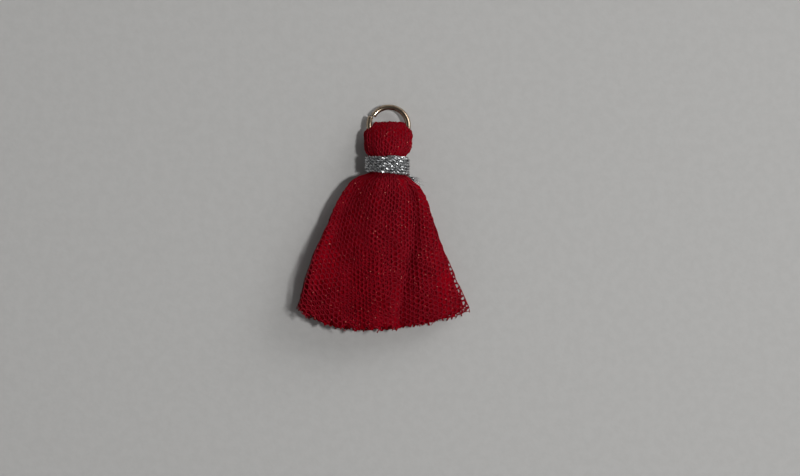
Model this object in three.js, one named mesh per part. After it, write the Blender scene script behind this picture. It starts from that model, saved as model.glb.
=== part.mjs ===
// Small tulle tassel with a jump ring, lying on its back.
//
// Two strips of gathered tulle, one inside the other, run up from the front hem, through the ring,
// over its lower arc and down to the back hem. Metallic thread binds them below the ring, and the
// cloth fans out from there. Each strip stands for a few layers of net lying together.
//
// Millimetres, +Z up. +Y runs along the tassel towards the ring. The origin lies on the surface,
// under the middle of the tassel's outline.

import * as THREE from 'three';

const { degToRad, lerp, smoothstep } = THREE.MathUtils;

// ---- Driving sizes -------------------------------------------------------------------------

const CLOTH = 1.0; // thickness of one gathered layer of tulle
const GAP = 0.3; // clearance between pieces that touch on the real tassel
const LAYER_PITCH = CLOTH + GAP;
const BUNDLE_PITCH = 1.4; // the same between layers drawn together under the thread

const AXIS_HEIGHT = 3.5; // middle of the bound bundle, above the surface

// Beyond the binding the loop and the ring hang down to the surface.
const DROOP = { from: 11.4, slope: 0.26 };

const RING = {
  x: 1.27,
  y: 16.8, // before it droops
  radius: 3.5, // to the middle of the wire
  wire: 1.0,
  cutAt: degToRad(150),
  cutWidth: 0.35,
  endStep: 0.15, // how far each end springs out of line, across and up
  sides: 10,
  steps: 72,
};

const BINDING = {
  x: 0.9,
  low: 8.0,
  high: 11.36,
  turns: 6,
  thread: 0.56,
  halfWidth: 4.1,
  halfDepth: AXIS_HEIGHT,
  groove: 0.4, // share of the thread's thickness left between two turns
  turnSteps: 4,
  sides: 44,
};

const TAIL = {
  thread: 0.5,
  sides: 8,
  steps: 6,
  from: new THREE.Vector3(4.75, 7.55, AXIS_HEIGHT),
  bend: new THREE.Vector3(5.9, 7.0, AXIS_HEIGHT),
  to: new THREE.Vector3(7.05, 6.3, AXIS_HEIGHT - 0.3),
};

// The bundle from the crown of the loop down to the lower side of the binding. Its middle line
// is an arc with these half sizes, on both the front and the back.
const BUNDLE = [
  { y: 14.2, x: 1.0, halfWidth: 4.6, halfDepth: 3.0 },
  { y: 13.2, x: 1.0, halfWidth: 4.5, halfDepth: 2.9 },
  { y: 12.4, x: 0.95, halfWidth: 3.9, halfDepth: 2.5 },
  { y: 11.5, x: 0.9, halfWidth: 2.7, halfDepth: 2.1 },
  { y: 9.7, x: 0.9, halfWidth: 2.7, halfDepth: 2.1 },
  { y: 7.7, x: 0.9, halfWidth: 2.7, halfDepth: 2.1 },
];
const CROWN = BUNDLE[0];
const NECK = BUNDLE[BUNDLE.length - 1];

// The loop's top, where both strips pass through the ring.
const LOOP = {
  x: 1.27,
  top: 17.36,
  narrow: 2.5, // half width of the outer strip inside the ring
  widensFrom: degToRad(36),
  widensTo: degToRad(76),
  roundedBy: 0.05, // share by which the top edge falls away to its sides
};

// Outline of the fanned skirt, left and right of the middle, from the binding to the hem.
const SKIRT = [
  { y: 7.7, left: -1.48, right: 3.28 },
  { y: 7.1, left: -4.0, right: 4.3 },
  { y: 6.1, left: -5.8, right: 5.9 },
  { y: 4.6, left: -7.0, right: 7.1 },
  { y: 3.2, left: -8.1, right: 8.0 },
  { y: 0.3, left: -9.4, right: 9.0 },
  { y: -3.4, left: -11.1, right: 10.3 },
  { y: -7.0, left: -12.7, right: 12.0 },
  { y: -10.6, left: -13.9, right: 13.5 },
  { y: -14.3, left: -14.8, right: 14.8 },
  { y: -16.5, left: -15.5, right: 15.5 },
];
const SKIRT_TOP = SKIRT[0].y;
const SKIRT_CORNER = SKIRT[SKIRT.length - 1].y;

// The hem bows down between its two corners and is cut a little unevenly.
const HEM = {
  lowest: -20.3,
  lowestAt: -0.1,
  leftCorner: -16.6,
  rightCorner: -17.3,
  leftCurve: 3.5,
  rightCurve: 2.0,
  uneven: [
    { size: 0.1, waves: 17 },
    { size: 0.07, waves: 41 },
  ],
};

// Ridges and hollows of the front, from the left edge (-1) to the right edge (1). A fold line
// runs from its place at the shoulder to its place at the hem, at these heights of the cloth's
// middle. The last column is the number of facets on the way to the next line.
const FOLDS = [
  { name: 'left edge', shoulder: -1.0, hem: -1.0, highShoulder: 4.8, highHem: 6.5, facets: 4 },
  { name: 'left crown', shoulder: -0.45, hem: -0.55, highShoulder: 5.9, highHem: 6.4, facets: 3 },
  { name: 'left hollow', shoulder: 0.0, hem: -0.2, highShoulder: 5.7, highHem: 5.7, facets: 3 },
  { name: 'main ridge', shoulder: 0.5, hem: 0.2, highShoulder: 5.8, highHem: 6.1, facets: 3 },
  { name: 'main valley', shoulder: 0.66, hem: 0.34, highShoulder: 5.2, highHem: 4.8, facets: 2 },
  { name: 'right crown', shoulder: 0.78, hem: 0.52, highShoulder: 5.3, highHem: 5.1, facets: 2 },
  { name: 'right shoulder', shoulder: 0.88, hem: 0.75, highShoulder: 5.0, highHem: 4.8, facets: 4 },
  { name: 'right edge', shoulder: 1.0, hem: 1.0, highShoulder: 4.1, highHem: 2.7, facets: 0 },
];
const LOW_FOLD = 4.7; // the inner layers keep level under anything lower

// Facets along a strip, on each side of the loop's top.
const BEND_ROWS = 6;
const BUNDLE_ROWS = BUNDLE.length - 1;
const SKIRT_ROWS = 14;
const SIDE_ROWS = BEND_ROWS + BUNDLE_ROWS + SKIRT_ROWS;

// The two strips. `depth` counts layers in from the outside. The front and back flaps give the
// share of the skirt's width that each side takes, and how much longer than the hem line it is.
const STRIPS = {
  outer: {
    depth: 0,
    arc: degToRad(62), // how far round the bundle each side reaches
    front: { left: 0.97, right: 0.97, longer: 0.0, rise: 1.0, floor: 0.0 },
    back: { left: 1.0, right: 1.0, longer: 0.2, rise: 0.0, floor: CLOTH / 2 },
  },
  inner: {
    depth: 1,
    arc: degToRad(35),
    front: { left: 0.94, right: 0.72, longer: -0.3, rise: 0.6, floor: CLOTH / 2 + 2 * LAYER_PITCH },
    back: { left: 0.92, right: 0.7, longer: -0.4, rise: 0.25, floor: CLOTH / 2 + LAYER_PITCH },
  },
};
const FAN_SPREAD = 0.32; // share of the skirt's length in which the inner strip reaches its width
const FAN_FLATTEN = 0.14; // share of it in which the round bundle becomes flat layers
const FAN_OUTLINE = 0.03; // share of it in which the outline takes over from the bundle's width
const FOLD_SLANT_FROM = 0.1; // share of it above which the fold lines keep their shoulder places
const ROWS_CROWD = 1.3; // how much closer the rows of facets lie towards the binding

// ---- Tables --------------------------------------------------------------------------------

// Reads one column of a table whose rows go down in y.
function readAt(table, y, column) {
  let row = 1;
  while (row < table.length - 1 && table[row].y > y) row += 1;
  const above = table[row - 1];
  const below = table[row];
  return lerp(above[column], below[column], (above.y - y) / (above.y - below.y));
}

// Columns of facets across a strip: the fold line each one starts from and the share of the way
// to the next fold line.
function facetColumns() {
  const columns = [];
  FOLDS.forEach((fold, index) => {
    for (let step = 0; step < fold.facets; step += 1) {
      columns.push({ index, share: step / fold.facets });
    }
  });
  columns.push({ index: FOLDS.length - 2, share: 1 });
  return columns;
}

// The place across the skirt of one column, `down` of the way from the shoulder to the hem.
function acrossAt({ index, share }, down) {
  const place = (fold) => lerp(fold.shoulder, fold.hem, smoothstep(down, FOLD_SLANT_FROM, 1));
  return lerp(place(FOLDS[index]), place(FOLDS[index + 1]), share);
}

// The height of the front there.
function foldHeightAt({ index, share }, down) {
  const height = (fold) => lerp(fold.highShoulder, fold.highHem, down);
  return lerp(height(FOLDS[index]), height(FOLDS[index + 1]), smoothstep(share, 0, 1));
}

// The hem line, by place across the skirt.
function hemAt(across) {
  const left = across < HEM.lowestAt;
  const corner = left ? HEM.leftCorner : HEM.rightCorner;
  const curve = left ? HEM.leftCurve : HEM.rightCurve;
  const reach = Math.abs(across - HEM.lowestAt) / Math.abs((left ? -1 : 1) - HEM.lowestAt);
  const uneven = HEM.uneven.map(({ size, waves }) => size * Math.sin(waves * across));
  return lerp(HEM.lowest, corner, reach ** curve) + uneven[0] + uneven[1];
}

// ---- Cloth ---------------------------------------------------------------------------------

// A point on the arc of the bundle. `side` is 1 on the front and -1 on the back.
function bundlePoint(strip, side, row, across) {
  const inward = strip.depth * BUNDLE_PITCH;
  const turn = across * strip.arc;
  return new THREE.Vector3(
    row.x + (row.halfWidth - inward) * Math.sin(turn),
    row.y,
    AXIS_HEIGHT + side * (row.halfDepth - inward) * Math.cos(turn),
  );
}

// The bend through the ring, `turned` from 0 at the loop's top to a quarter turn at the crown.
function bendPoint(strip, side, turned, across) {
  const inward = strip.depth * BUNDLE_PITCH;
  const wide = (CROWN.halfWidth - inward) * Math.sin(strip.arc);
  const open = smoothstep(turned, LOOP.widensFrom, LOOP.widensTo);
  const half = lerp(Math.min(LOOP.narrow, wide), wide, open);
  const reach = LOOP.top - CLOTH / 2 - inward - CROWN.y;
  const round = Math.cos(across * strip.arc);
  return new THREE.Vector3(
    lerp(LOOP.x, CROWN.x, open) + half * (Math.sin(across * strip.arc) / Math.sin(strip.arc)),
    CROWN.y + reach * Math.cos(turned) * (1 - LOOP.roundedBy * across * across),
    AXIS_HEIGHT + side * (CROWN.halfDepth - inward) * Math.sin(turned) * round,
  );
}

// The share of the skirt's width that a strip takes where it leaves the binding.
function neckShare(strip) {
  const half = ({ depth, arc }) => (NECK.halfWidth - depth * BUNDLE_PITCH) * Math.sin(arc);
  return half(strip) / half(STRIPS.outer);
}

// The fanned skirt, `down` from 0 at the binding to 1 at the hem.
function skirtPoint(strip, side, down, column) {
  const flap = side > 0 ? strip.front : strip.back;
  const across = acrossAt(column, down);
  const bound = bundlePoint(strip, side, NECK, acrossAt(column, 0));

  const opened = smoothstep(down, 0, FAN_SPREAD);
  const hand = across < 0 ? 'left' : 'right';
  const share = lerp(neckShare(strip), flap[hand], opened);
  const edge = readAt(SKIRT, lerp(SKIRT_TOP, SKIRT_CORNER, down), hand);
  const middle = lerp(NECK.x, 0, opened);
  const fannedX = middle + Math.abs(across) * share * (edge - middle);
  const y = lerp(SKIRT_TOP, hemAt(across) - flap.longer, down);

  const lid = foldHeightAt(column, down);
  const fannedZ = flap.floor + flap.rise * (strip.depth === 0 ? lid : Math.max(lid - LOW_FOLD, 0));
  return new THREE.Vector3(
    lerp(bound.x, fannedX, smoothstep(down, 0, FAN_OUTLINE)),
    y,
    lerp(bound.z, fannedZ, smoothstep(down, 0, FAN_FLATTEN)),
  );
}

// The middle of a strip's cloth, `along` from -1 at the front hem, through 0 at the loop's top,
// to 1 at the back hem.
function stripPoint(strip, along, column) {
  const side = along < 0 ? 1 : -1;
  const row = Math.abs(along) * SIDE_ROWS;
  const across = acrossAt(column, 0);
  if (row <= BEND_ROWS) {
    return bendPoint(strip, side, (row / BEND_ROWS) * (Math.PI / 2), across);
  }
  if (row <= BEND_ROWS + BUNDLE_ROWS) {
    const place = row - BEND_ROWS;
    const index = Math.min(Math.floor(place), BUNDLE_ROWS - 1);
    const section = {};
    for (const key of Object.keys(CROWN)) {
      section[key] = lerp(BUNDLE[index][key], BUNDLE[index + 1][key], place - index);
    }
    return bundlePoint(strip, side, section, across);
  }
  const down = (row - BEND_ROWS - BUNDLE_ROWS) / SKIRT_ROWS;
  return skirtPoint(strip, side, down ** ROWS_CROWD, column);
}

// A closed sheet of even thickness about a grid of middle points.
function sheetGeometry(middle, thickness) {
  const rows = middle.length;
  const columns = middle[0].length;
  const positions = [];
  for (const face of [1, -1]) {
    for (let r = 0; r < rows; r += 1) {
      for (let c = 0; c < columns; c += 1) {
        const along = middle[Math.min(r + 1, rows - 1)][c].clone().sub(middle[Math.max(r - 1, 0)][c]);
        const across = middle[r][Math.min(c + 1, columns - 1)].clone().sub(middle[r][Math.max(c - 1, 0)]);
        const normal = across.cross(along).normalize();
        const point = middle[r][c].clone().addScaledVector(normal, (face * thickness) / 2);
        positions.push(point.x, point.y, point.z);
      }
    }
  }

  const indices = [];
  const quad = (a, b, c, d) => indices.push(a, b, c, a, c, d);
  const outside = (r, c) => r * columns + c;
  const inside = (r, c) => rows * columns + r * columns + c;
  for (let r = 0; r < rows - 1; r += 1) {
    for (let c = 0; c < columns - 1; c += 1) {
      quad(outside(r, c), outside(r, c + 1), outside(r + 1, c + 1), outside(r + 1, c));
      quad(inside(r, c), inside(r + 1, c), inside(r + 1, c + 1), inside(r, c + 1));
    }
    quad(outside(r, 0), outside(r + 1, 0), inside(r + 1, 0), inside(r, 0));
    const last = columns - 1;
    quad(outside(r + 1, last), outside(r, last), inside(r, last), inside(r + 1, last));
  }
  for (let c = 0; c < columns - 1; c += 1) {
    quad(outside(0, c + 1), outside(0, c), inside(0, c), inside(0, c + 1));
    const last = rows - 1;
    quad(outside(last, c), outside(last, c + 1), inside(last, c + 1), inside(last, c));
  }

  const geometry = new THREE.BufferGeometry();
  geometry.setAttribute('position', new THREE.Float32BufferAttribute(positions, 3));
  geometry.setIndex(indices);
  geometry.computeVertexNormals();
  return geometry;
}

// Presses the loop flat towards the surface, the further from the binding the more.
function droopCloth(geometry) {
  const position = geometry.getAttribute('position');
  for (let index = 0; index < position.count; index += 1) {
    const beyond = Math.max(position.getY(index) - DROOP.from, 0);
    position.setZ(index, position.getZ(index) * (1 - (DROOP.slope * beyond) / AXIS_HEIGHT));
  }
  geometry.computeVertexNormals();
  return geometry;
}

function stripGeometry(strip) {
  const columns = facetColumns();
  const middle = [];
  for (let row = -SIDE_ROWS; row <= SIDE_ROWS; row += 1) {
    middle.push(columns.map((column) => stripPoint(strip, row / SIDE_ROWS, column)));
  }
  return droopCloth(sheetGeometry(middle, CLOTH));
}

// ---- Ring and thread -----------------------------------------------------------------------

function roundSection(diameter, sides) {
  const points = [];
  for (let side = 0; side < sides; side += 1) {
    const turn = (2 * Math.PI * side) / sides;
    points.push(new THREE.Vector2(Math.cos(turn), Math.sin(turn)).multiplyScalar(diameter / 2));
  }
  return new THREE.Shape(points);
}

// The middle of the ring's wire, from one side of the cut round to the other. The ends spring
// apart a little, as on a ring that was opened and closed with pliers.
class RingPath extends THREE.Curve {
  getPoint(share, target = new THREE.Vector3()) {
    const halfCut = RING.cutWidth / 2 / RING.radius;
    const turn = RING.cutAt + lerp(halfCut, 2 * Math.PI - halfCut, share);
    const step = RING.endStep * (1 - 2 * share) ** 5;
    const radius = RING.radius + step;
    return target.set(
      RING.x + radius * Math.cos(turn),
      RING.y + radius * Math.sin(turn),
      AXIS_HEIGHT + step,
    );
  }
}

function ringGeometry() {
  const geometry = new THREE.ExtrudeGeometry(roundSection(RING.wire, RING.sides), {
    extrudePath: new RingPath(),
    steps: RING.steps,
  });
  geometry.translate(0, -DROOP.from, -AXIS_HEIGHT);
  geometry.rotateX(-Math.atan(DROOP.slope));
  geometry.translate(0, DROOP.from, AXIS_HEIGHT);
  return geometry;
}

// Close turns of thread round the bundle: one oval ring with a round ridge for each turn.
function bindingGeometry() {
  const pitch = (BINDING.high - BINDING.low) / BINDING.turns;
  const inner = BINDING.halfWidth - BINDING.thread;
  const profile = [new THREE.Vector2(inner, BINDING.low)];
  for (let turn = 0; turn < BINDING.turns; turn += 1) {
    for (let step = 0; step <= BINDING.turnSteps; step += 1) {
      if (turn > 0 && step === 0) continue;
      const share = step / BINDING.turnSteps;
      const swell = lerp(BINDING.groove, 1, Math.sin(Math.PI * share));
      profile.push(
        new THREE.Vector2(inner + BINDING.thread * swell, BINDING.low + (turn + share) * pitch),
      );
    }
  }
  profile.push(new THREE.Vector2(inner, BINDING.high), profile[0].clone());
  const geometry = new THREE.LatheGeometry(profile, BINDING.sides);
  geometry.scale(1, 1, BINDING.halfDepth / BINDING.halfWidth);
  return geometry;
}

function tailGeometry() {
  return new THREE.ExtrudeGeometry(roundSection(TAIL.thread, TAIL.sides), {
    extrudePath: new THREE.QuadraticBezierCurve3(TAIL.from, TAIL.bend, TAIL.to),
    steps: TAIL.steps,
  });
}

// ---- Assembly ------------------------------------------------------------------------------

function tulle(color) {
  return new THREE.MeshStandardMaterial({ color, roughness: 0.85, metalness: 0, side: THREE.DoubleSide });
}

function metallicThread() {
  return new THREE.MeshStandardMaterial({ color: 0x8d9093, roughness: 0.4, metalness: 0.6 });
}

function paleGold() {
  return new THREE.MeshStandardMaterial({ color: 0xd9c9a6, roughness: 0.2, metalness: 1 });
}

function named(name, geometry, material) {
  const mesh = new THREE.Mesh(geometry, material);
  mesh.name = name;
  return mesh;
}

const tassel = new THREE.Group();
tassel.add(named('tulle_outer_strip', stripGeometry(STRIPS.outer), tulle(0x7a0a18)));
tassel.add(named('tulle_inner_strip', stripGeometry(STRIPS.inner), tulle(0x68060f)));
tassel.add(named('jump_ring', ringGeometry(), paleGold()));

const binding = named('binding_thread', bindingGeometry(), metallicThread());
binding.position.set(BINDING.x, 0, AXIS_HEIGHT);
tassel.add(binding);
tassel.add(named('thread_tail', tailGeometry(), metallicThread()));

const outline = new THREE.Box3().setFromObject(tassel);
tassel.position.y = -outline.getCenter(new THREE.Vector3()).y;

export default tassel;
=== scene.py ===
"""Looks of a small tulle tassel with a jump ring, lying on its back.

The strips of net are real strands: flat sheets of six-sided cells are shaped over the bound
bundle and the fanned skirt, and then turned to strands. The binding is wound from twisted
metallic thread, its loose end is a wisp of fibres, and the ring is round wire with one cut.

Lengths are in millimetres up to the point where a mesh is written, which is in metres.
"""

import logging
import math
import random
from dataclasses import dataclass, field
from enum import Enum
from typing import Any, Sequence

import bmesh
import bpy
from bmesh.types import BMEdge, BMesh, BMFace, BMVert
from bpy.types import Material, Object
from mathutils import Matrix, Vector, noise


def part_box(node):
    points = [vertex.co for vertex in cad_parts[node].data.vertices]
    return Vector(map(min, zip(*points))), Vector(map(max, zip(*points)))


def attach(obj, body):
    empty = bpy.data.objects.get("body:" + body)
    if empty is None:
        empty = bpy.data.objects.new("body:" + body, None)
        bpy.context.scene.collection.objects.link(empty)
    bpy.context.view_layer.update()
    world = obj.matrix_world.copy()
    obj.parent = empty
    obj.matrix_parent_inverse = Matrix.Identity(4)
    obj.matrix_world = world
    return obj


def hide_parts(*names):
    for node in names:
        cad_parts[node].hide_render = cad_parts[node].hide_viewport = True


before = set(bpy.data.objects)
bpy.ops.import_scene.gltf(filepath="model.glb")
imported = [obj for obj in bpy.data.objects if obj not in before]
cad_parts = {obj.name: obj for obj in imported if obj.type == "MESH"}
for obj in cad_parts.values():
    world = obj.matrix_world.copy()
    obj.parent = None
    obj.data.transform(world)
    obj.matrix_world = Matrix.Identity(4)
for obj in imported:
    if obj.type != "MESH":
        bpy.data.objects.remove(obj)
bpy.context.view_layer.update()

log = logging.getLogger("tassel")
Colour = tuple[float, float, float]
MM = 0.001  # A millimetre, in metres.
TOUCHING = 1e-4  # How near a line a point counts as on it.
ELSEWHERE = Vector((17.3, 5.9, 41.7))  # Far enough away for noise of its own.


class Slot(Enum):
    """Names of the material slots, which nothing in this script uses."""

    TULLE = "tulle"
    THREAD = "thread"
    RING = "ring"


class Face(Enum):
    """The two halves of a strip, on either side of the loop's top."""

    FRONT = 1
    BACK = -1


# ---- Small helpers ----


def mix(low: float, high: float, share: float) -> float:
    """Returns the value `share` of the way from low to high."""
    return low + (high - low) * share


def smooth(value: float, start: float, end: float) -> float:
    """Eases from 0 to 1 as value goes from start to end.

    Args:
        value: The number that is eased.
        start: Where the result leaves 0.
        end: Where the result reaches 1.

    Returns:
        A number from 0 to 1.
    """
    share = min(max((value - start) / (end - start), 0.0), 1.0)
    return share * share * (3.0 - 2.0 * share)


def stirred(place: Vector) -> Vector:
    """Returns a smooth sideways push for a place, which is the same each time."""
    return Vector((noise.noise(place), noise.noise(place + ELSEWHERE), 0.0))


def around(rows: Sequence[Any], drop: float) -> tuple[Any, Any, float]:
    """Finds the two rows of a table on either side of a place.

    Args:
        rows: The table, whose rows have a growing `drop`.
        drop: The place, as a distance below the binding's lower edge.

    Returns:
        The row above, the row below, and how far from one to the other the place is.
    """
    index = 1
    while index < len(rows) - 1 and rows[index].drop < drop:
        index += 1
    above, below = rows[index - 1], rows[index]
    return above, below, (drop - above.drop) / (below.drop - above.drop)


def any_way(chance: random.Random) -> Vector:
    """Returns a vector whose three parts are drawn in turn, from -1 to 1."""
    return Vector([chance.uniform(-1, 1) for _ in range(3)])


def node_box(name: str) -> tuple[Vector, Vector]:
    """Returns the lowest and highest corner of a CAD node, in millimetres."""
    low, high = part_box(name)
    return Vector(low) / MM, Vector(high) / MM


def placed(name: str, data: bpy.types.ID) -> Object:
    """Puts a mesh, a camera or a light into the scene.

    Args:
        name: The new object's name.
        data: What it shows.

    Returns:
        The new object.
    """
    made = bpy.data.objects.new(name, data)
    bpy.context.scene.collection.objects.link(made)
    return made


def put_in_order(mesh: BMesh) -> None:
    """Sorts a mesh's faces by their vertices, so that each run stores them alike.

    The operators keep the order of the vertices, but not always that of the faces between them.

    Args:
        mesh: The mesh.
    """
    mesh.verts.index_update()
    count = len(mesh.verts)

    def rank(face: BMFace) -> int:
        """Returns a number made of a face's three lowest vertices."""
        low = sorted(vert.index for vert in face.verts)
        return (low[0] * count + low[1]) * count + low[2]

    mesh.faces.sort(key=rank)


def written(name: str, mesh: BMesh, material: Material) -> Object:
    """Writes a mesh as an object with one finish.

    Args:
        name: The object's name.
        mesh: Its mesh, in metres, which is freed.
        material: The finish on all of it.

    Returns:
        The new object.
    """
    put_in_order(mesh)
    data = bpy.data.meshes.new(name)
    mesh.to_mesh(data)
    mesh.free()
    data.materials.append(material)
    return placed(name, data)


def finished_piece(
    name: str,
    mesh: BMesh,
    material: Material,
    node: str,
    rounded: bool = True,
) -> Object:
    """Writes a mesh as one piece of the tassel, in metres, and ties it to the frame.

    Args:
        name: The piece's name.
        mesh: Its mesh, in millimetres, which is freed.
        material: The finish on all of it.
        node: The CAD node that it stands for.
        rounded: Whether its faces are shaded as one round surface, and not as flats.

    Returns:
        The new object.
    """
    bmesh.ops.recalc_face_normals(mesh, faces=mesh.faces)
    bmesh.ops.scale(mesh, vec=(MM, MM, MM), verts=mesh.verts)
    for face in mesh.faces:
        face.smooth = rounded
    piece = written(name, mesh, material)
    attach(piece, "root")
    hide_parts(node)
    log.info("%s: %d faces", name, len(piece.data.polygons))
    return piece


def swept(mesh: BMesh, path: Sequence[Vector], radius: Sequence[float], sides: int) -> None:
    """Adds a closed round rod along a path.

    Args:
        mesh: The mesh that it is added to.
        path: The points of its middle line.
        radius: Its radius at each point.
        sides: How many sides it has.
    """
    ring = bmesh.ops.create_circle(mesh, cap_ends=False, segments=sides, radius=1.0)["verts"]
    edges = list(dict.fromkeys(edge for vert in ring for edge in vert.link_edges))
    heading = (path[1] - path[0]).normalized()
    turn = Vector((0, 0, 1)).rotation_difference(heading).to_matrix()
    for vert in ring:
        vert.co = path[0] + turn @ (vert.co * radius[0])
    first = list(edges)
    for index in range(1, len(path)):
        ahead = path[min(index + 1, len(path) - 1)] - path[index - 1]
        bend = heading.rotation_difference(ahead.normalized()).to_matrix()
        heading = ahead.normalized()
        grown = bmesh.ops.extrude_edge_only(mesh, edges=edges)["geom"]
        verts = [item for item in grown if isinstance(item, BMVert)]
        grown = [item for item in grown if isinstance(item, BMEdge)]
        edges = [edge for edge in grown if all(vert in verts for vert in edge.verts)]
        thinner = radius[index] / radius[index - 1]
        for vert in verts:
            vert.co = path[index] + bend @ (vert.co - path[index - 1]) * thinner
    bmesh.ops.contextual_create(mesh, geom=first)
    bmesh.ops.contextual_create(mesh, geom=edges)


# ---- Shader nodes ----


@dataclass(frozen=True)
class Signal:
    """A node's output socket that takes part in sums like a number.

    Attributes:
        graph: The nodes that it belongs to.
        socket: The socket.
    """

    graph: "Graph"
    socket: bpy.types.NodeSocket

    def _with(self, operation: str, *others: Any) -> "Signal":
        """Returns the result of a Math node on this and other values."""
        return self.graph.math(operation, self, *others)

    def __add__(self, other: Any) -> "Signal":
        """Returns the sum."""
        return self._with("ADD", other)

    def __sub__(self, other: Any) -> "Signal":
        """Returns the difference."""
        return self._with("SUBTRACT", other)

    def __rsub__(self, other: Any) -> "Signal":
        """Returns a number minus this."""
        return self.graph.math("SUBTRACT", other, self)

    def __mul__(self, other: Any) -> "Signal":
        """Returns the product."""
        return self._with("MULTIPLY", other)

    __radd__ = __add__
    __rmul__ = __mul__

    def clamped(self, start: float, end: float) -> "Signal":
        """Eases this from 0 at start to 1 at end.

        Args:
            start: Where the result leaves 0.
            end: Where the result reaches 1.

        Returns:
            The eased value.
        """
        settings = {"interpolation_type": "SMOOTHSTEP"}
        sockets = {"Value": self, "From Min": start, "From Max": end}
        return self.graph.node("ShaderNodeMapRange", settings, sockets, "Result")


class Graph:
    """The nodes of one material or world, made one call at a time."""

    def __init__(self, owner: Any) -> None:
        """Empties the node tree of a new material or world.

        Args:
            owner: The material or the world.
        """
        self.owner = owner
        owner.use_nodes = True
        self.tree = owner.node_tree
        self.tree.nodes.clear()

    def node(
        self, kind: str, settings: dict[str, Any], sockets: dict[Any, Any], output: Any = 0
    ) -> Signal:
        """Adds a node.

        Args:
            kind: The node's type.
            settings: Its properties, set before its sockets.
            sockets: Values or Signals by input name or number.
            output: The output that is wanted.

        Returns:
            That output.
        """
        made = self.tree.nodes.new(kind)
        for key, value in settings.items():
            setattr(made, key, value)
        for key, value in sockets.items():
            if isinstance(value, Signal):
                self.tree.links.new(value.socket, made.inputs[key])
            else:
                made.inputs[key].default_value = value
        return Signal(self, made.outputs[output])

    def math(self, operation: str, *values: Any) -> Signal:
        """Returns the result of a Math node on numbers and Signals."""
        return self.node("ShaderNodeMath", {"operation": operation}, dict(enumerate(values)))

    def place(self) -> Signal:
        """Returns the object's own coordinates."""
        return self.node("ShaderNodeTexCoord", {}, {}, "Object")

    def noise(self, per_mm: float, detail: float = 2.0, stretch: Colour = (1, 1, 1)) -> Signal:
        """Returns noise in the object's own space.

        Args:
            per_mm: How many blotches there are in a millimetre.
            detail: How many finer octaves are added.
            stretch: How far each axis is squeezed before the noise is read.

        Returns:
            A value about 0.5.
        """
        scaled = {"Vector": self.place(), "Scale": stretch}
        vector = self.node("ShaderNodeMapping", {}, scaled)
        sockets = {"Vector": vector, "Scale": per_mm / MM, "Detail": detail}
        return self.node("ShaderNodeTexNoise", {}, sockets, 0)

    def blend(self, share: Any, low: Any, high: Any) -> Signal:
        """Returns a mix of two colours."""
        sockets = {0: share, 6: with_alpha(low), 7: with_alpha(high)}
        return self.node("ShaderNodeMix", {"data_type": "RGBA"}, sockets, 2)

    def bumps(self, height: Signal, depth_mm: float) -> Signal:
        """Returns the normal of a surface raised by `height` times a depth."""
        sockets = {"Height": height, "Distance": depth_mm * MM}
        return self.node("ShaderNodeBump", {}, sockets)

    def surface(self, sockets: dict[str, Any]) -> Material:
        """Ends the material in one Principled shader and returns it."""
        shader = self.node("ShaderNodeBsdfPrincipled", {}, sockets)
        return self.ended("ShaderNodeOutputMaterial", shader)

    def ended(self, kind: str, shader: Signal) -> Any:
        """Links a shader to an output node.

        Args:
            kind: The output node's type.
            shader: The shader.

        Returns:
            The material or the world.
        """
        output = self.tree.nodes.new(kind)
        self.tree.links.new(shader.socket, output.inputs["Surface"])
        return self.owner


def with_alpha(colour: Any) -> Any:
    """Returns a plain colour with an alpha of 1, and leaves a Signal as it is."""
    return colour if isinstance(colour, Signal) else (*colour, 1.0)


# ---- Finishes ----


@dataclass(frozen=True)
class TulleFinish:
    """Crimson net yarn, matt, with a few bright specks painted in as glints, where it is also
    glossier.

    Attributes:
        name: The material's name.
        yarn: Its main colour.
        deep: The colour of darker stretches of yarn.
        painted_glint: The colour of the specks.
        fibre_mm: The width of the yarn's fibres.
        gloss: How strongly it shines.
        fuzz: How much pale fuzz shows at a glancing angle.
    """

    name: str = "crimson_tulle"
    yarn: Colour = (0.20, 0.0022, 0.0098)
    deep: Colour = (0.165, 0.0012, 0.007)
    # painted_glint: The colour of the specks, a painted highlight.
    painted_glint: Colour = (0.70, 0.19, 0.15)
    fibre_mm: float = 0.05
    gloss: float = 0.15
    fuzz: float = 0.05

    def make(self) -> Material:
        """Makes the material.

        Returns:
            The new material.
        """
        graph = Graph(bpy.data.materials.new(self.name))
        patchy = graph.noise(0.35, 3.0)
        fibres = graph.noise(1.0 / self.fibre_mm / 3.0, 2.0)
        tone = (patchy + fibres * 0.6 - 0.3).clamped(0.35, 0.7)
        yarn = graph.blend(tone, self.deep, self.yarn)
        # Painted highlights: sparse small specks take a pale pink colour as glints, and are also
        # less rough.
        painted_glint_spots = graph.noise(3.0, 1.0).clamped(0.735, 0.76)
        colour = graph.blend(painted_glint_spots, yarn, self.painted_glint)
        sockets = {
            "Base Color": colour,
            "Roughness": 0.62 - painted_glint_spots * 0.35 - fibres * 0.12,
            "Specular IOR Level": self.gloss,
            "Specular Tint": (1.0, 0.45, 0.5, 1.0),
            "Sheen Weight": self.fuzz,
            "Sheen Roughness": 0.4,
            "Sheen Tint": (1.0, 0.5, 0.55, 1.0),
            "Normal": graph.bumps(fibres, 0.03),
        }
        return graph.surface(sockets)


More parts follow.
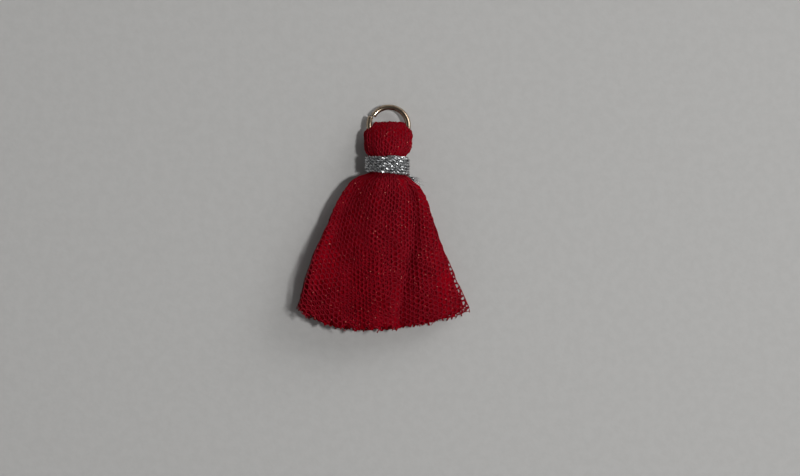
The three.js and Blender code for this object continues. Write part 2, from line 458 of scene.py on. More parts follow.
@dataclass(frozen=True)
class MetallicThreadFinish:
    """Silver-grey metallic yarn: fine foil strips that flash where they face the light, with dark
    blotches painted among them as shade between the strips.

    Attributes:
        name: The material's name.
        foil: The colour of bright foil.
        painted_shade: The dark colour of the blotches, painted shade between the strips.
    """

    name: str = "silver_grey_thread"
    foil: Colour = (0.70, 0.71, 0.72)
    painted_shade: Colour = (0.05, 0.053, 0.06)

    def make(self) -> Material:
        """Makes the material.

        Returns:
            The new material.
        """
        graph = Graph(bpy.data.materials.new(self.name))
        strips = graph.noise(4.5, 2.0)
        fine = graph.noise(14.0, 1.0)
        # Noise blends bright foil with a dark colour that is painted in as shade between the foil
        # strips.
        tone = (strips + fine * 0.4 - 0.2).clamped(0.36, 0.66)
        sockets = {
            "Base Color": graph.blend(tone, self.painted_shade, self.foil),
            "Metallic": 0.8 + tone * 0.2,
            "Roughness": 0.38 - tone * 0.1,
            "Normal": graph.bumps(strips + fine * 0.3, 0.03),
        }
        return graph.surface(sockets)


@dataclass(frozen=True)
class RingFinish:
    """Pale gold plate, polished, with faint drawing lines and handling marks.

    Attributes:
        name: The material's name.
        plate: The colour of the plate.
        worn: Its colour where it is rubbed.
    """

    name: str = "pale_gold_plate"
    plate: Colour = (0.47, 0.37, 0.27)
    worn: Colour = (0.30, 0.225, 0.16)

    def make(self) -> Material:
        """Makes the material.

        Returns:
            The new material.
        """
        graph = Graph(bpy.data.materials.new(self.name))
        marks = graph.noise(1.2, 4.0)
        rubbed = marks.clamped(0.5, 0.68)
        lines = graph.noise(9.0, 2.0)
        sockets = {
            "Base Color": graph.blend(rubbed, self.plate, self.worn),
            "Metallic": 1.0,
            "Roughness": 0.13 + rubbed * 0.10 + lines * 0.06,
            "Normal": graph.bumps(marks + lines * 0.3, 0.006),
        }
        return graph.surface(sockets)


@dataclass(frozen=True)
class FloorFinish:
    """A plain pale grey surface with the faintest mottle.

    Attributes:
        name: The material's name.
        light: The lighter grey.
        dark: The darker grey.
    """

    name: str = "pale_surface"
    light: Colour = (0.485, 0.485, 0.48)
    dark: Colour = (0.465, 0.465, 0.46)

    def make(self) -> Material:
        """Makes the material.

        Returns:
            The new material.
        """
        graph = Graph(bpy.data.materials.new(self.name))
        mottle = graph.noise(0.6, 3.0)
        grain = graph.noise(1.5, 3.0)
        colour = graph.blend((mottle + grain * 0.3 - 0.15).clamped(0.3, 0.7), self.dark, self.light)
        return graph.surface(
            {"Base Color": colour, "Roughness": 0.8, "Normal": graph.bumps(grain, 0.02)}
        )


# ---- Cloth ----


@dataclass(frozen=True)
class FoldLine:
    """A ridge or hollow that runs from the shoulder of the skirt to its hem.

    Attributes:
        shoulder: Its place across the skirt at the shoulder, from -1 to 1.
        hem: Its place at the hem.
        high_shoulder: The height of the front's middle layer at the shoulder.
        high_hem: That height at the hem.
        lean_hem: How far the cloth leans over to the right there, at the hem.
    """

    shoulder: float
    hem: float
    high_shoulder: float
    high_hem: float
    lean_hem: float = 0.0


@dataclass(frozen=True)
class Outline:
    """The skirt's sides at one distance below the binding.

    Attributes:
        drop: The distance.
        left: The left side, from the tassel's middle.
        right: The right side.
    """

    drop: float
    left: float
    right: float


@dataclass(frozen=True)
class Section:
    """The bound bundle at one place above the skirt.

    Attributes:
        drop: The place, as a distance below the binding's lower edge.
        x: Its middle.
        half_width: Half the width of its middle line, which is an arc.
        half_depth: Half its depth.
    """

    drop: float
    x: float
    half_width: float
    half_depth: float


SKIRT = (
    Outline(0.15, -1.79, 3.59),
    Outline(0.6, -3.2, 3.9),
    Outline(1.3, -4.9, 4.7),
    Outline(1.9, -5.6, 5.6),
    Outline(2.75, -6.35, 6.7),
    Outline(3.4, -6.9, 7.1),
    Outline(4.9, -8.0, 8.0),
    Outline(7.7, -9.4, 9.0),
    Outline(11.4, -11.1, 10.3),
    Outline(15.0, -12.7, 11.9),
    Outline(18.6, -14.0, 13.4),
    Outline(22.3, -15.0, 15.1),
    Outline(24.5, -15.7, 16.0),
)

FOLDS = (
    FoldLine(-1.0, -1.0, 3.8, 6.8),
    FoldLine(-0.85, -0.8, 4.1, 6.2),
    FoldLine(-0.2, -0.1, 6.5, 6.7),
    FoldLine(0.32, 0.07, 6.35, 6.2, 0.3),
    FoldLine(0.73, 0.2, 4.3, 4.65),
    FoldLine(0.84, 0.4, 4.45, 5.0),
    FoldLine(0.92, 0.72, 4.3, 4.6),
    FoldLine(1.0, 1.0, 3.8, 2.7),
)

BUNDLE = (
    Section(-6.2, 1.1, 3.95, 3.05),
    Section(-5.2, 1.1, 3.95, 2.9),
    Section(-4.3, 1.05, 3.75, 2.6),
    Section(-3.75, 0.95, 3.4, 2.35),
    Section(-3.3, 0.9, 2.7, 2.1),
    Section(-1.7, 0.9, 2.7, 2.1),
    Section(0.15, 0.9, 2.7, 2.1),
)


@dataclass(frozen=True)
class Flap:
    """One half of a strip, from the binding to its hem.

    Attributes:
        left: The share of the skirt's left half that it takes.
        right: The share of the right half.
        longer: How far it hangs below the hem line.
        rise: How much it follows the front's folds.
        floor: Its height where it follows none.
    """

    left: float
    right: float
    longer: float
    rise: float
    floor: float


@dataclass(frozen=True)
class Strip:
    """A strip of tulle as it lies: up the front, through the ring and down the back.

    Attributes:
        node: The CAD node that it stands for.
        depth: How many layers it lies in from the outside.
        arc: How far round the bundle each side of it reaches, in degrees.
        front: Its front half.
        back: Its back half.
    """

    node: str
    depth: int
    arc: float
    front: Flap
    back: Flap


OUTER = Strip(
    "tulle_outer_strip",
    depth=0,
    arc=85,
    front=Flap(0.97, 0.98, 0.0, 1.0, 0.0),
    back=Flap(1.0, 1.0, 0.2, 0.0, 0.5),
)
INNER = Strip(
    "tulle_inner_strip",
    depth=1,
    arc=75,
    front=Flap(0.94, 0.72, -0.3, 0.6, 3.1),
    back=Flap(0.92, 0.70, -0.4, 0.25, 1.8),
)


@dataclass
class ClothForm:
    """The shape that every strip of the tassel follows.

    Attributes:
        layer_pitch: The distance between two strips of the bundle.
        thick: The thickness of a strip.
        loop_top: The top of the loop above the binding's lower edge.
        loop_half: Half the width that fits through the ring.
        hem_low: The lowest point of the hem, below the binding's lower edge.
        hem_left: The hem's left corner, below it.
        hem_right: The hem's right corner, below it.
        hem_low_at: Where across the skirt the hem is lowest.
        hem_left_curve: How late the hem curves up towards its left corner.
        hem_right_curve: How late it curves up towards its right corner.
        low_fold: The height under which the inner strip keeps level.
        droop: How far the loop hangs down for each millimetre beyond the binding.
        hem_dip: How far the front bends down at its hem, as a share of its height.
        neck_slack: The cloth taken up where the skirt fans out of the bundle.
        ring_x: The middle of the ring, across.
        axis_height: The height of the bundle's middle.
        binding_low: The binding's lower edge, along the tassel.
        binding_high: Its upper edge.
    """

    layer_pitch: float = 1.4
    thick: float = 1.0
    loop_top: float = 9.36
    loop_half: float = 2.5
    hem_low: float = 28.1
    hem_left: float = 24.4
    hem_right: float = 24.8
    hem_low_at: float = -0.1
    hem_left_curve: float = 2.6
    hem_right_curve: float = 1.8
    low_fold: float = 4.7
    droop: float = 0.26
    hem_dip: float = 0.22
    neck_slack: float = 0.3
    ring_x: float = field(init=False)
    axis_height: float = field(init=False)
    binding_low: float = field(init=False)
    binding_high: float = field(init=False)

    def __post_init__(self) -> None:
        """Reads where the ring and the binding lie in the frame."""
        ring_low, ring_high = node_box("jump_ring")
        low, high = node_box("binding_thread")
        self.ring_x = (ring_low.x + ring_high.x) / 2
        self.axis_height = (low.z + high.z) / 2
        self.binding_low = low.y
        self.binding_high = high.y

    def drooped(self, place: Vector) -> Vector:
        """Presses the cloth down towards the surface beyond the binding.

        Args:
            place: A place of the cloth.

        Returns:
            That place, pressed down.
        """
        beyond = max(place.y - self.binding_high, 0.0)
        pressed = place.copy()
        pressed.z *= 1 - self.droop * beyond / self.axis_height
        return pressed

    @property
    def bend_length(self) -> float:
        """The cloth between the loop's top and its crown."""
        reach = self.loop_top - self.thick / 2 + BUNDLE[0].drop
        return math.pi / 2 * math.sqrt((reach**2 + BUNDLE[0].half_depth ** 2) / 2)

    @property
    def bundle_length(self) -> float:
        """The cloth from the crown to the skirt."""
        return BUNDLE[-1].drop - BUNDLE[0].drop + self.neck_slack

    @property
    def skirt_length(self) -> float:
        """The cloth from the bundle to the lowest point of the hem."""
        return self.hem_low - BUNDLE[-1].drop

    @property
    def half_length(self) -> float:
        """The cloth from the loop's top to the hem."""
        return self.bend_length + self.bundle_length + self.skirt_length

    def hem_drop(self, across: float) -> float:
        """Finds the hem at one place across the skirt.

        Args:
            across: The place, from -1 to 1.

        Returns:
            The hem's distance below the binding's lower edge.
        """
        side, corner, curve = 1, self.hem_right, self.hem_right_curve
        if across < self.hem_low_at:
            side, corner, curve = -1, self.hem_left, self.hem_left_curve
        reach = abs(across - self.hem_low_at) / abs(side - self.hem_low_at)
        return mix(self.hem_low, corner, reach**curve)

    def front_height(self, across: float, down: float) -> tuple[float, float]:
        """Finds the front's height and lean at one place of the skirt.

        Args:
            across: The place across, from -1 to 1.
            down: The place from the shoulder, 0, to the hem, 1.

        Returns:
            The height of the front's middle layer, and how far it leans to the right.
        """
        slant = smooth(down, 0.1, 1.0)
        places = [mix(line.shoulder, line.hem, slant) for line in FOLDS]
        index = 0
        while index < len(FOLDS) - 2 and places[index + 1] < across:
            index += 1
        start, end = places[index], places[index + 1]
        straight = min(max((across - start) / (end - start), 0.0), 1.0)
        share = (straight + smooth(across, start, end)) / 2
        here, there = FOLDS[index], FOLDS[index + 1]
        low = mix(here.high_shoulder, here.high_hem, down)
        high = mix(there.high_shoulder, there.high_hem, down)
        lean = mix(here.lean_hem, there.lean_hem, share) * smooth(down, 0.0, 0.6)
        return mix(low, high, share), lean

    def skirt_side(self, drop: float, across: float) -> float:
        """Finds one side of the skirt.

        Args:
            drop: The distance below the binding's lower edge.
            across: A number below 0 for the left side, or else the right side is meant.

        Returns:
            The side's place across.
        """
        above, below, share = around(SKIRT, drop)
        if across < 0:
            return mix(above.left, below.left, share)
        return mix(above.right, below.right, share)

    def on_bundle(self, strip: Strip, face: Face, section: Section, across: float) -> Vector:
        """Finds a point of a strip on the bound bundle.

        Args:
            strip: The strip.
            face: The half of it.
            section: The bundle at that place.
            across: The place across the strip, from -1 to 1.

        Returns:
            The point.
        """
        inward = strip.depth * self.layer_pitch
        turn = across * math.radians(strip.arc)
        x = section.x + (section.half_width - inward) * math.sin(turn)
        z = self.axis_height + face.value * (section.half_depth - inward) * math.cos(turn)
        return Vector((x, self.binding_low - section.drop, z))

    def on_bend(self, strip: Strip, face: Face, turned: float, across: float) -> Vector:
        """Finds a point where a strip bends through the ring.

        Args:
            strip: The strip.
            face: The half of it.
            turned: How far round the bend the point lies from the loop's top, in degrees.
            across: The place across the strip, from -1 to 1.

        Returns:
            The point.
        """
        crown = BUNDLE[0]
        inward = strip.depth * self.layer_pitch
        arc = math.radians(strip.arc)
        wide = (crown.half_width - inward) * math.sin(arc)
        opened = smooth(turned, 30, 68)
        half = mix(min(self.loop_half, wide), wide, opened)
        reach = self.loop_top - self.thick / 2 - inward + crown.drop
        turn = math.radians(turned)
        rounded = 1 - 0.05 * across * across
        depth = face.value * (crown.half_depth - inward) * math.sin(turn) * math.cos(across * arc)
        x = mix(self.ring_x, crown.x, opened) + half * math.sin(across * arc) / math.sin(arc)
        y = self.binding_low - crown.drop + reach * math.cos(turn) * rounded
        return Vector((x, y, self.axis_height + depth))

    def on_skirt(self, strip: Strip, face: Face, down: float, across: float) -> Vector:
        """Finds a point of a strip in the fanned skirt.

        Args:
            strip: The strip.
            face: The half of it.
            down: The place from the shoulder, 0, to the hem, 1.
            across: The place across the strip, from -1 to 1.

        Returns:
            The point.
        """
        flap = strip.front if face is Face.FRONT else strip.back
        neck = BUNDLE[-1]
        bound = self.on_bundle(strip, face, neck, across)
        opened = smooth(down, 0.0, 0.32)
        inward = strip.depth * self.layer_pitch
        bound_half = (neck.half_width - inward) * math.sin(math.radians(strip.arc))
        fanned = flap.left if across < 0 else flap.right
        share = mix(bound_half / neck.half_width, fanned, opened)
        side = self.skirt_side(mix(neck.drop, SKIRT[-1].drop, min(down, 1.0)), across)
        middle = mix(neck.x, 0.0, opened)
        lid, lean = self.front_height(across, min(down, 1.0))
        lid *= 1 - self.hem_dip * smooth(down, 0.74, 1.0)
        rise = lid if strip.depth == 0 else max(lid - self.low_fold, 0.0)
        fanned_x = middle + abs(across) * share * (side - middle) + lean * flap.rise
        x = mix(bound.x, fanned_x, smooth(down, 0.0, 0.03))
        y = self.binding_low - mix(neck.drop, self.hem_drop(across) + flap.longer, down)
        z = mix(bound.z, flap.floor + flap.rise * rise, smooth(down, 0.0, 0.11))
        return Vector((x, y, z))

    def point(self, strip: Strip, face: Face, along: float, across: float) -> Vector:
        """Finds a point of a strip's middle.

        Args:
            strip: The strip.
            face: The half of it.
            along: The cloth's distance from the loop's top.
            across: The place across the strip, from -1 to 1.

        Returns:
            The point, in millimetres.
        """
        if along <= self.bend_length:
            return self.on_bend(strip, face, 90 * along / self.bend_length, across)
        along -= self.bend_length
        if along <= self.bundle_length:
            drop = mix(BUNDLE[0].drop, BUNDLE[-1].drop, along / self.bundle_length)
            above, below, share = around(BUNDLE, drop)
            section = Section(
                drop,
                mix(above.x, below.x, share),
                mix(above.half_width, below.half_width, share),
                mix(above.half_depth, below.half_depth, share),
            )
            return self.on_bundle(strip, face, section, across)
        down = (along - self.bundle_length) / self.skirt_length
        return self.on_skirt(strip, face, down, across)


@dataclass(frozen=True)
class Ripple:
    """Smooth unevenness of one size over the cloth.

    Attributes:
        depth: How far it goes either way.
        across: How many swells there are in a millimetre across.
        along: How many there are along the tassel.
    """

    depth: float
    across: float
    along: float

    def at(self, x: float, y: float, own: float) -> float:
        """Returns the ripple at a place, where `own` sets one cloth apart from another."""
        return self.depth * noise.noise(Vector((x * self.across, y * self.along, own)))


PLEAT_RIPPLE = Ripple(0.6, 0.9, 0.05)
BROAD_WAVE = Ripple(0.25, 0.16, 0.07)
FINE_WAVE = Ripple(0.10, 0.7, 0.5)


@dataclass
class NetLayer:
    """One layer of net, real strands, in one of the strips.

    Attributes:
        name: The piece's name.
        strip: The strip that it belongs to.
        lift: Its distance outwards from the middle of the strip.
        seed: What sets its own small waves apart from the others'.
        turned: How far the rows of cells are turned on the cloth, in degrees.
        shift: How far they are moved across it.
        inset: How much narrower it is than the strip at its hems, on each side, as a share.
        shorter: How much shorter its hems are than the strip's.
        cell: The height of a cell.
        strand: The width of a strand.
        thick: The thickness of a strand.
        top_half: Half the width that the net is cut to at the loop's top.
        hem_half: Half its width at the hems.
        pleat: How deep its pleats are where it is gathered.
        prong: How uneven the cut at its hems is.
        uneven: How far single strands are pulled out of place.
        drift: How far whole rows of cells are pulled out of line.
        gathered: How far below the binding the pleats have opened out.
        lowest: The least height of a strand's middle above the surface.
    """

    name: str
    strip: Strip
    lift: float
    seed: int
    turned: float = 0.0
    shift: float = 0.0
    inset: float = 0.0
    shorter: float = 0.0
    cell: float = 0.9
    strand: float = 0.72
    thick: float = 0.09
    top_half: float = 9.5
    hem_half: float = 15.6
    pleat: float = 0.1
    prong: float = 1.0
    uneven: float = 0.16
    drift: float = 0.2
    gathered: float = 6.0
    lowest: float = 0.1

    @property
    def column(self) -> float:
        """The distance between two columns of cells."""
        return self.cell * math.sqrt(3) / 2

    def flat_half(self, form: ClothForm) -> BMesh:
        """Makes the front half of the net as it is cut, flat, with y away from the loop's top.

        Args:
            form: The shape of the tassel's cloth, for the length.

        Returns:
            A flat mesh of six-sided cells.
        """
        reach = form.half_length + 3 * self.cell
        lean = math.sin(math.radians(abs(self.turned)))
        columns = 2 * math.ceil((self.hem_half + reach * lean + 1) / self.column)
        halves = 4 * math.ceil((reach + self.hem_half * lean + 1) / self.cell)
        net = bmesh.new()
        bmesh.ops.create_grid(net, x_segments=columns, y_segments=halves, size=1.0)
        spare = []
        places = {}
        for vert in net.verts:
            across = round((vert.co.x + 1) / 2 * columns)
            along = round((vert.co.y + 1) / 2 * halves)
            places[vert] = (across, along)
            toward = -1 if (across + along) % 2 else 1
            vert.co.x = (across - columns / 2) * self.column + toward * self.column / 6
            vert.co.y = (along - halves / 2) * self.cell / 2
        for edge in net.edges:
            (across, along), (other, level) = (places[vert] for vert in edge.verts)
            if along == level and (min(across, other) + along) % 2:
                spare.append(edge)
        bmesh.ops.dissolve_edges(net, edges=spare, use_verts=False)
        turn = Matrix.Rotation(math.radians(self.turned), 3, "Z")
        bmesh.ops.rotate(net, verts=net.verts, matrix=turn)
        bmesh.ops.translate(net, verts=net.verts, vec=(self.shift, self.shift, 0))
        self.cut(net, Vector((0, 0, 0)), Vector((0, -1, 0)))
        self.cut(net, Vector((0, reach, 0)), Vector((0, 1, 0)))
        slope = (self.hem_half - self.top_half) / form.half_length
        for side in (-1, 1):
            self.cut(net, Vector((side * self.top_half, 0, 0)), Vector((side, -slope, 0)))
        return net

    @staticmethod
    def cut(net: BMesh, place: Vector, outward: Vector) -> None:
        """Cuts away one side of the flat net.

        Args:
            net: The flat net. It is changed.
            place: A place on the straight line of the cut.
            outward: The way from that line to what is cut away.
        """
        whole = [*net.verts, *net.edges, *net.faces]
        bmesh.ops.bisect_plane(
            net, geom=whole, dist=TOUCHING, plane_co=place, plane_no=outward, clear_outer=True
        )

    def shape(self, net: BMesh, form: ClothForm) -> None:
        """Lays the flat net over the tassel, and on the surface under it.

        Args:
            net: The whole flat net, with its front half at y above 0. It is changed.
            form: The shape that it follows.
        """
        slope = (self.hem_half - self.top_half) / form.half_length
        small = 0.02
        neck = form.bend_length + form.bundle_length
        for vert in net.verts:
            flat_x, along = vert.co.x, abs(vert.co.y)
            face = Face.FRONT if vert.co.y >= 0 else Face.BACK
            half = self.top_half + slope * along
            across = flat_x / half * (1 - self.inset * smooth(along, neck, form.half_length))
            here = form.point(self.strip, face, along, across)
            beside = form.point(self.strip, face, along, across + small) - here
            beyond = form.point(self.strip, face, along + small, across) - here
            outward = beyond.cross(beside).normalized() * face.value
            gather = 1 - smooth(along, neck, neck + self.gathered)
            free = 1 - gather
            pleat = self.pleat * gather * math.cos(math.pi * flat_x / self.column)
            pleat *= mix(0.35, 1.0, smooth(along, 0.5, form.bend_length))
            pleat *= 0.7 + PLEAT_RIPPLE.at(flat_x, along, self.seed)
            wave = BROAD_WAVE.at(here.x, here.y, self.seed * 3.7 + face.value)
            fine = FINE_WAVE.at(here.x, here.y, self.seed * 1.3 + face.value)
            lift = self.lift + pleat + wave * free + fine * (0.3 + 0.7 * free)
            vert.co = here + outward * lift
            drift = stirred(Vector((flat_x * 0.35, along * 0.35, self.seed * 2.1)))
            jitter = stirred(Vector((flat_x * 1.1, along * 1.1, self.seed * 4.3)))
            vert.co += self.drift * drift + self.uneven * jitter
            vert.co = form.drooped(vert.co)
            vert.co.z = max(vert.co.z, self.lowest)

    def open_cells(self, net: BMesh) -> None:
        """Opens every cell of the net, so that only the strands between them are left.

        Args:
            net: The net, one face to a cell. It is changed.
        """
        cells = net.faces[:]
        half = self.strand / 2
        bmesh.ops.inset_individual(net, faces=cells, thickness=half, use_even_offset=False)
        bmesh.ops.delete(net, geom=cells, context="FACES")

    def thicken(self, net: BMesh) -> None:
        """Gives the flat strands their depth.

        Args:
            net: The net of strands. It is changed.
        """
        net.normal_update()
        raised = {vert: vert.normal * self.thick / 2 for vert in net.verts}
        under = bmesh.ops.extrude_face_region(net, geom=net.faces[:], use_keep_orig=True)
        for vert in under["geom"]:
            if isinstance(vert, BMVert):
                vert.co -= vert.normal * self.thick / 2
        for vert, way in raised.items():
            vert.co += way

    def trim_hems(self, net: BMesh, form: ClothForm) -> None:
        """Cuts the strands off at the hems, and leaves short uneven ends.

        Args:
            net: The net of strands. It is changed.
            form: The shape of the tassel's cloth.
        """
        extra = {Face.FRONT: self.strip.front.longer, Face.BACK: self.strip.back.longer}
        beyond = []
        for face in net.faces:
            middle = face.calc_center_median()
            drop = form.binding_low - middle.y
            if drop < form.hem_left - 3:
                continue
            across = min(max(middle.x / (SKIRT[-1].right * (1 - self.inset)), -1.0), 1.0)
            half = Face.FRONT if middle.z > form.axis_height - 1.2 else Face.BACK
            snip = noise.noise(Vector((middle.x * 1.4, self.seed * 5.1 + half.value, 0.5)))
            hem = form.hem_drop(across) + extra[half] - self.shorter + self.prong * snip
            if drop > hem:
                beyond.append(face)
        bmesh.ops.delete(net, geom=beyond, context="FACES")

    def build(self, form: ClothForm, material: Material) -> Object:
        """Makes the layer.

        Args:
            form: The shape of the tassel's cloth.
            material: The net's finish.

        Returns:
            The finished piece.
        """
        net = self.flat_half(form)
        whole = [*net.verts, *net.edges, *net.faces]
        bmesh.ops.mirror(net, geom=whole, matrix=Matrix(), merge_dist=1e-3, axis="Y")
        seam = [e for e in net.edges if all(abs(vert.co.y) < TOUCHING for vert in e.verts)]
        bmesh.ops.dissolve_edges(net, edges=seam, use_verts=True)
        bmesh.ops.recalc_face_normals(net, faces=net.faces)
        self.shape(net, form)
        self.open_cells(net)
        self.trim_hems(net, form)
        self.thicken(net)
        piece = finished_piece(self.name, net, material, self.strip.node)
        length = 2 * form.half_length * MM
        area = (self.top_half + self.hem_half) * 2 * form.half_length * MM * MM
        return piece


# ---- Thread and ring ----


@dataclass
class Binding:
    """Metallic thread of two plies, wound round the bundle in two layers.

    Attributes:
        node: The CAD node that it stands for.
        turns: The turns that show.
        ply: The radius of a ply.
        apart: The distance of each ply's middle from the thread's.
        twist: The length in which the plies go once round each other.
        step: The length between two rings of the mesh.
        sides: The sides of a ply.
        sag: How much lower the winding's lower edge lies at its right end.
        swell: How uneven its distance from the bundle's middle is, as a share.
        wander: How far its turns stray along the bundle.
    """

    node: str = "binding_thread"
    turns: float = 6.0
    ply: float = 0.18
    apart: float = 0.14
    twist: float = 1.5
    step: float = 0.13
    sides: int = 4
    sag: float = 0.6
    swell: float = 0.02
    wander: float = 0.07

    def winding(self, mesh: BMesh, inward: float, turns: float, seed: int) -> None:
        """Winds one layer of the thread.

        Args:
            mesh: The mesh that it is added to.
            inward: How far its middle lies in from the sides of the space for the binding.
            turns: How many turns it makes.
            seed: What sets its unevenness.
        """
        low, high = node_box(self.node)
        centre = (low + high) / 2
        wide = (high.x - low.x) / 2 - inward
        deep = (high.z - low.z) / 2 - inward
        thread = self.ply + self.apart
        rise = (high.y - low.y - 2 * thread) / turns
        girth = 2 * math.pi * math.sqrt((wide * wide + deep * deep) / 2)
        count = int(turns * girth / self.step)
        middle = []
        for index in range(count + 1):
            share = index / count
            turn = 2 * math.pi * turns * share - math.pi / 2
            uneven = noise.noise(Vector((math.cos(turn), math.sin(turn), share * turns + seed)))
            swell = 1 + self.swell * uneven
            right = (0.5 + 0.5 * math.cos(turn)) ** 2
            level = low.y + thread + rise * turns * share + self.wander * uneven
            level -= (0.12 + self.sag * right) * (1 - 0.6 * share)
            x = centre.x + wide * swell * math.cos(turn)
            middle.append(Vector((x, level, centre.z + deep * swell * math.sin(turn))))
        for ply in (0.0, math.pi):
            path = []
            for index, point in enumerate(middle):
                ahead = middle[min(index + 1, count)] - middle[max(index - 1, 0)]
                ahead.normalize()
                side = ahead.cross(Vector((0, 1, 0))).normalized()
                turn = ply + 2 * math.pi * index * self.step / self.twist
                lean = side * math.cos(turn) + ahead.cross(side) * math.sin(turn)
                path.append(point + lean * self.apart)
            swept(mesh, path, [self.ply] * len(path), self.sides)

    def build(self, material: Material) -> Object:
        """Makes the piece.

        Args:
            material: Its finish.

        Returns:
            The finished piece.
        """
        mesh = bmesh.new()
        thread = self.ply + self.apart
        self.winding(mesh, thread, self.turns, seed=1)
        self.winding(mesh, 1.8 * thread, self.turns - 0.5, seed=7)
        return finished_piece("binding_winding", mesh, material, self.node, False)


@dataclass
class LooseEnd:
    """The frayed end of the binding thread.

    Attributes:
        node: The CAD node that it stands for.
        fibres: How many fibres it has.
        fibre: The radius of a fibre at its root.
        sides: The sides of a fibre.
        pieces: The straight pieces that a fibre's curve is made of.
        root: The radius of the bunch where it leaves the binding.
        stray: How far the fibres' tips stray.
        curl: How far they curl on the way.
        seed: What sets how they lie.
    """

    node: str = "thread_tail"
    fibres: int = 34
    fibre: float = 0.034
    sides: int = 5
    pieces: int = 8
    root: float = 0.16
    stray: float = 0.5
    curl: float = 0.45
    seed: int = 11

    def build(self, material: Material) -> Object:
        """Makes the piece.

        Args:
            material: Its finish.

        Returns:
            The finished piece.
        """
        low, high = node_box(self.node)
        root = Vector((low.x + 0.2, high.y - 0.5, high.z - 0.3))
        tip = Vector((high.x + 0.1, low.y - 0.05, low.z + 0.3))
        chance = random.Random(self.seed)
        mesh = bmesh.new()
        shares = [piece / self.pieces for piece in range(self.pieces + 1)]
        for _ in range(self.fibres):
            start = root + any_way(chance) * self.root
            reach = chance.uniform(0.45, 1.1)
            aim = (tip - root) * reach + any_way(chance) * self.stray
            curl = any_way(chance) * self.curl
            path = [start + aim * at + curl * math.sin(math.pi * at) * at for at in shares]
            thick = self.fibre * chance.uniform(0.6, 1.2)
            swept(mesh, path, [thick * (1 - 0.6 * at) for at in shares], self.sides)
        return finished_piece("thread_wisp", mesh, material, self.node)


@dataclass
class JumpRing:
    """The open ring of round wire.

    Attributes:
        node: The CAD node that it stands for.
        radius: The radius to the middle of the wire.
        wire: The radius of the wire.
        cut_at: Where the cut is, in degrees round from +X.
        cut_width: The gap at the cut.
        end_step: How far each end springs out of line.
        pieces: The straight pieces that its curve is made of.
        sides: The sides of the wire.
        end_share: The wire's thickness at its cut ends, whose edges are rubbed, as a share.
    """

    node: str = "jump_ring"
    radius: float = 3.5
    wire: float = 0.5
    cut_at: float = 150.0
    cut_width: float = 0.35
    end_step: float = 0.15
    pieces: int = 180
    sides: int = 22
    end_share: float = 0.86

    def build(self, material: Material) -> Object:
        """Makes the piece.

        Args:
            material: Its finish.

        Returns:
            The finished piece.
        """
        low, high = node_box(self.node)
        middle = (low + high) / 2
        middle.x -= self.end_step / 2
        tilt = math.asin((high.z - low.z - 2 * self.wire) / (2 * self.radius))
        droop = Matrix.Rotation(-tilt, 3, "X")
        half_cut = self.cut_width / 2 / self.radius
        path = []
        for index in range(self.pieces + 1):
            share = index / self.pieces
            turn = math.radians(self.cut_at) + mix(half_cut, 2 * math.pi - half_cut, share)
            step = self.end_step * (1 - 2 * share) ** 5
            radius = self.radius + step
            place = Vector((radius * math.cos(turn), radius * math.sin(turn), step))
            path.append(middle + droop @ place)
        thick = [self.wire] * len(path)
        thick[0] = thick[-1] = self.wire * self.end_share
        mesh = bmesh.new()
        swept(mesh, path, thick, self.sides)
        return finished_piece("jump_ring_wire", mesh, material, self.node)


# ---- Stage ----


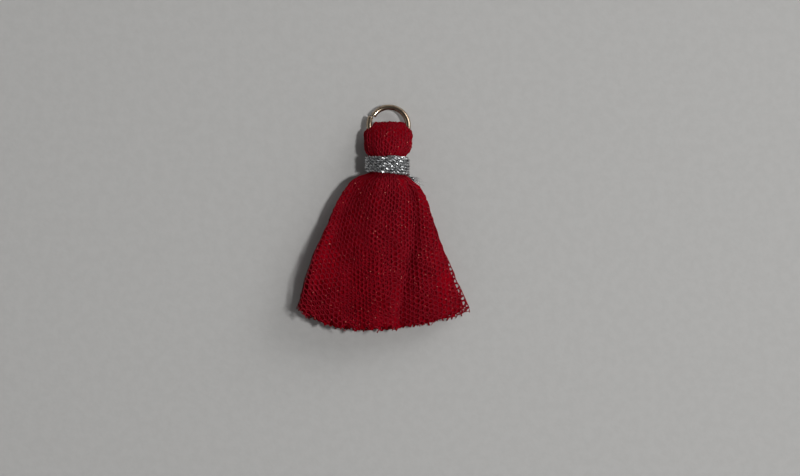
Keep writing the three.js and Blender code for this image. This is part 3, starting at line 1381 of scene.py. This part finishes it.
@dataclass
class Stage:
    """The surface, the light and the camera.

    Attributes:
        frame_width: The width that the camera takes in, in millimetres.
        look_x: Where it looks, across.
        look_y: Where it looks, along the tassel.
        lens: Its focal length.
        sensor: The width of its sensor.
        key_power: The power of the main light, in watts.
        key_size: The width of the main light.
        key_far: Its distance.
        key_height: Its height over the surface, in degrees.
        key_round: How far it stands round from the right towards the ring, in degrees.
        floor_half: Half the width of the surface.
    """

    frame_width: float = 145.5
    look_x: float = 3.2
    look_y: float = -3.7
    lens: float = 200.0
    sensor: float = 36.0
    key_power: float = 1.9
    key_size: float = 70.0
    key_far: float = 620.0
    key_height: float = 66.0
    key_round: float = 4.0
    floor_half: float = 2500.0

    def camera(self) -> None:
        """Hangs the camera straight over the tassel, far off with a long lens."""
        data = bpy.data.cameras.new("camera")
        data.lens = self.lens
        data.sensor_width = self.sensor
        data.dof.use_dof = False
        data.clip_end = 10.0
        camera = placed("camera", data)
        height = self.frame_width * self.lens / self.sensor
        camera.location = Vector((self.look_x, self.look_y, height)) * MM
        bpy.context.scene.camera = camera

    def floor(self, material: Material) -> None:
        """Lays the surface that the tassel rests on.

        Args:
            material: Its finish.
        """
        mesh = bmesh.new()
        bmesh.ops.create_grid(mesh, x_segments=4, y_segments=4, size=self.floor_half * MM)
        written("surface", mesh, material)

    def light(self) -> None:
        """Sets the main light to the right and a little beyond, and pale light round about."""
        data = bpy.data.lights.new("main_light", "AREA")
        data.shape = "DISK"
        data.size = self.key_size * MM
        data.energy = self.key_power
        data.color = (1.0, 0.99, 0.975)
        lamp = placed("main_light", data)
        high, turned = math.radians(self.key_height), math.radians(self.key_round)
        level = math.cos(high)
        toward = Vector((level * math.cos(turned), level * math.sin(turned), math.sin(high)))
        lamp.location = toward * self.key_far * MM
        lamp.rotation_euler = toward.to_track_quat("Z", "Y").to_euler()

        graph = Graph(bpy.data.worlds.new("room"))
        way = graph.node("ShaderNodeTexCoord", {}, {}, "Generated")
        right = graph.node("ShaderNodeSeparateXYZ", {}, {0: way}, 0)
        up = graph.node("ShaderNodeSeparateXYZ", {}, {0: way}, 2)
        sockets = {0: way, 1: (0.66, 0.6, 0.45)}
        beside = graph.node("ShaderNodeVectorMath", {"operation": "DOT_PRODUCT"}, sockets, 1)
        low = (0.28 + 0.22 * right.clamped(-0.6, 0.6)) * (1 - up.clamped(0.35, 0.75))
        level = 0.07 + low + 4.0 * beside.clamped(0.93, 0.985)
        sockets = {"Color": (1.0, 0.99, 0.98, 1.0), "Strength": level}
        shader = graph.node("ShaderNodeBackground", {}, sockets)
        bpy.context.scene.world = graph.ended("ShaderNodeOutputWorld", shader)
        bpy.context.scene.view_settings.view_transform = "Standard"


def main() -> None:
    """Builds the tassel and its stage, in order."""
    logging.basicConfig(level=logging.INFO, format="%(name)s: %(message)s")
    stage = Stage()
    stage.camera()
    form = ClothForm()
    # The tulle finishes are copies of one dyed net, coloured by depth in the stack: the top layer's
    # is paler and pinker as painted sheen, and the lower layers' is a more saturated, less pink red
    # with dimmer painted glints, as painted light that has passed through the layers above.
    tulle = TulleFinish().make()
    thread = MetallicThreadFinish().make()
    middle = TulleFinish(
        "crimson_tulle_second_painted_deep",
        yarn=(0.215, 0.001, 0.007),
        deep=(0.18, 0.0006, 0.0055),
        gloss=0.1,
        fuzz=0.02,
    ).make()
    under = TulleFinish(
        "crimson_tulle_under_painted_deep",
        yarn=(0.245, 0.0005, 0.006),
        deep=(0.20, 0.0003, 0.005),
        painted_glint=(0.5, 0.08, 0.07),
        gloss=0.02,
        fuzz=0.0,
    ).make()
    open_net = {"cell": 0.96, "strand": 0.25, "thick": 0.15, "top_half": 8.0}
    fine_net = {"strand": 0.3, "thick": 0.1}
    layers = (
        (tulle, NetLayer("net_outer_1", OUTER, 0.36, 1, 5.0, **open_net)),
        (middle, NetLayer("net_outer_2", OUTER, 0.24, 2, -4.0, 0.3, 0.05, 0.2, **fine_net)),
        (under, NetLayer("net_outer_3", OUTER, 0.12, 3, 5.0, 0.5, 0.08, 0.1)),
        (under, NetLayer("net_outer_4", OUTER, -0.1, 4, -6.0, 0.1, 0.07, 0.5)),
        (under, NetLayer("net_inner_1", INNER, 0.36, 5, 3.0, 0.2)),
        (under, NetLayer("net_inner_2", INNER, 0.0, 6, -2.0, 0.6, 0.02)),
        (under, NetLayer("net_inner_3", INNER, -0.36, 7, 7.0, 0.4, 0.02)),
    )
    for finish, layer in layers:
        layer.build(form, finish)
    Binding().build(thread)
    LooseEnd().build(thread)
    JumpRing().build(RingFinish().make())
    stage.floor(FloorFinish().make())
    stage.light()


if __name__ == "__main__":
    main()
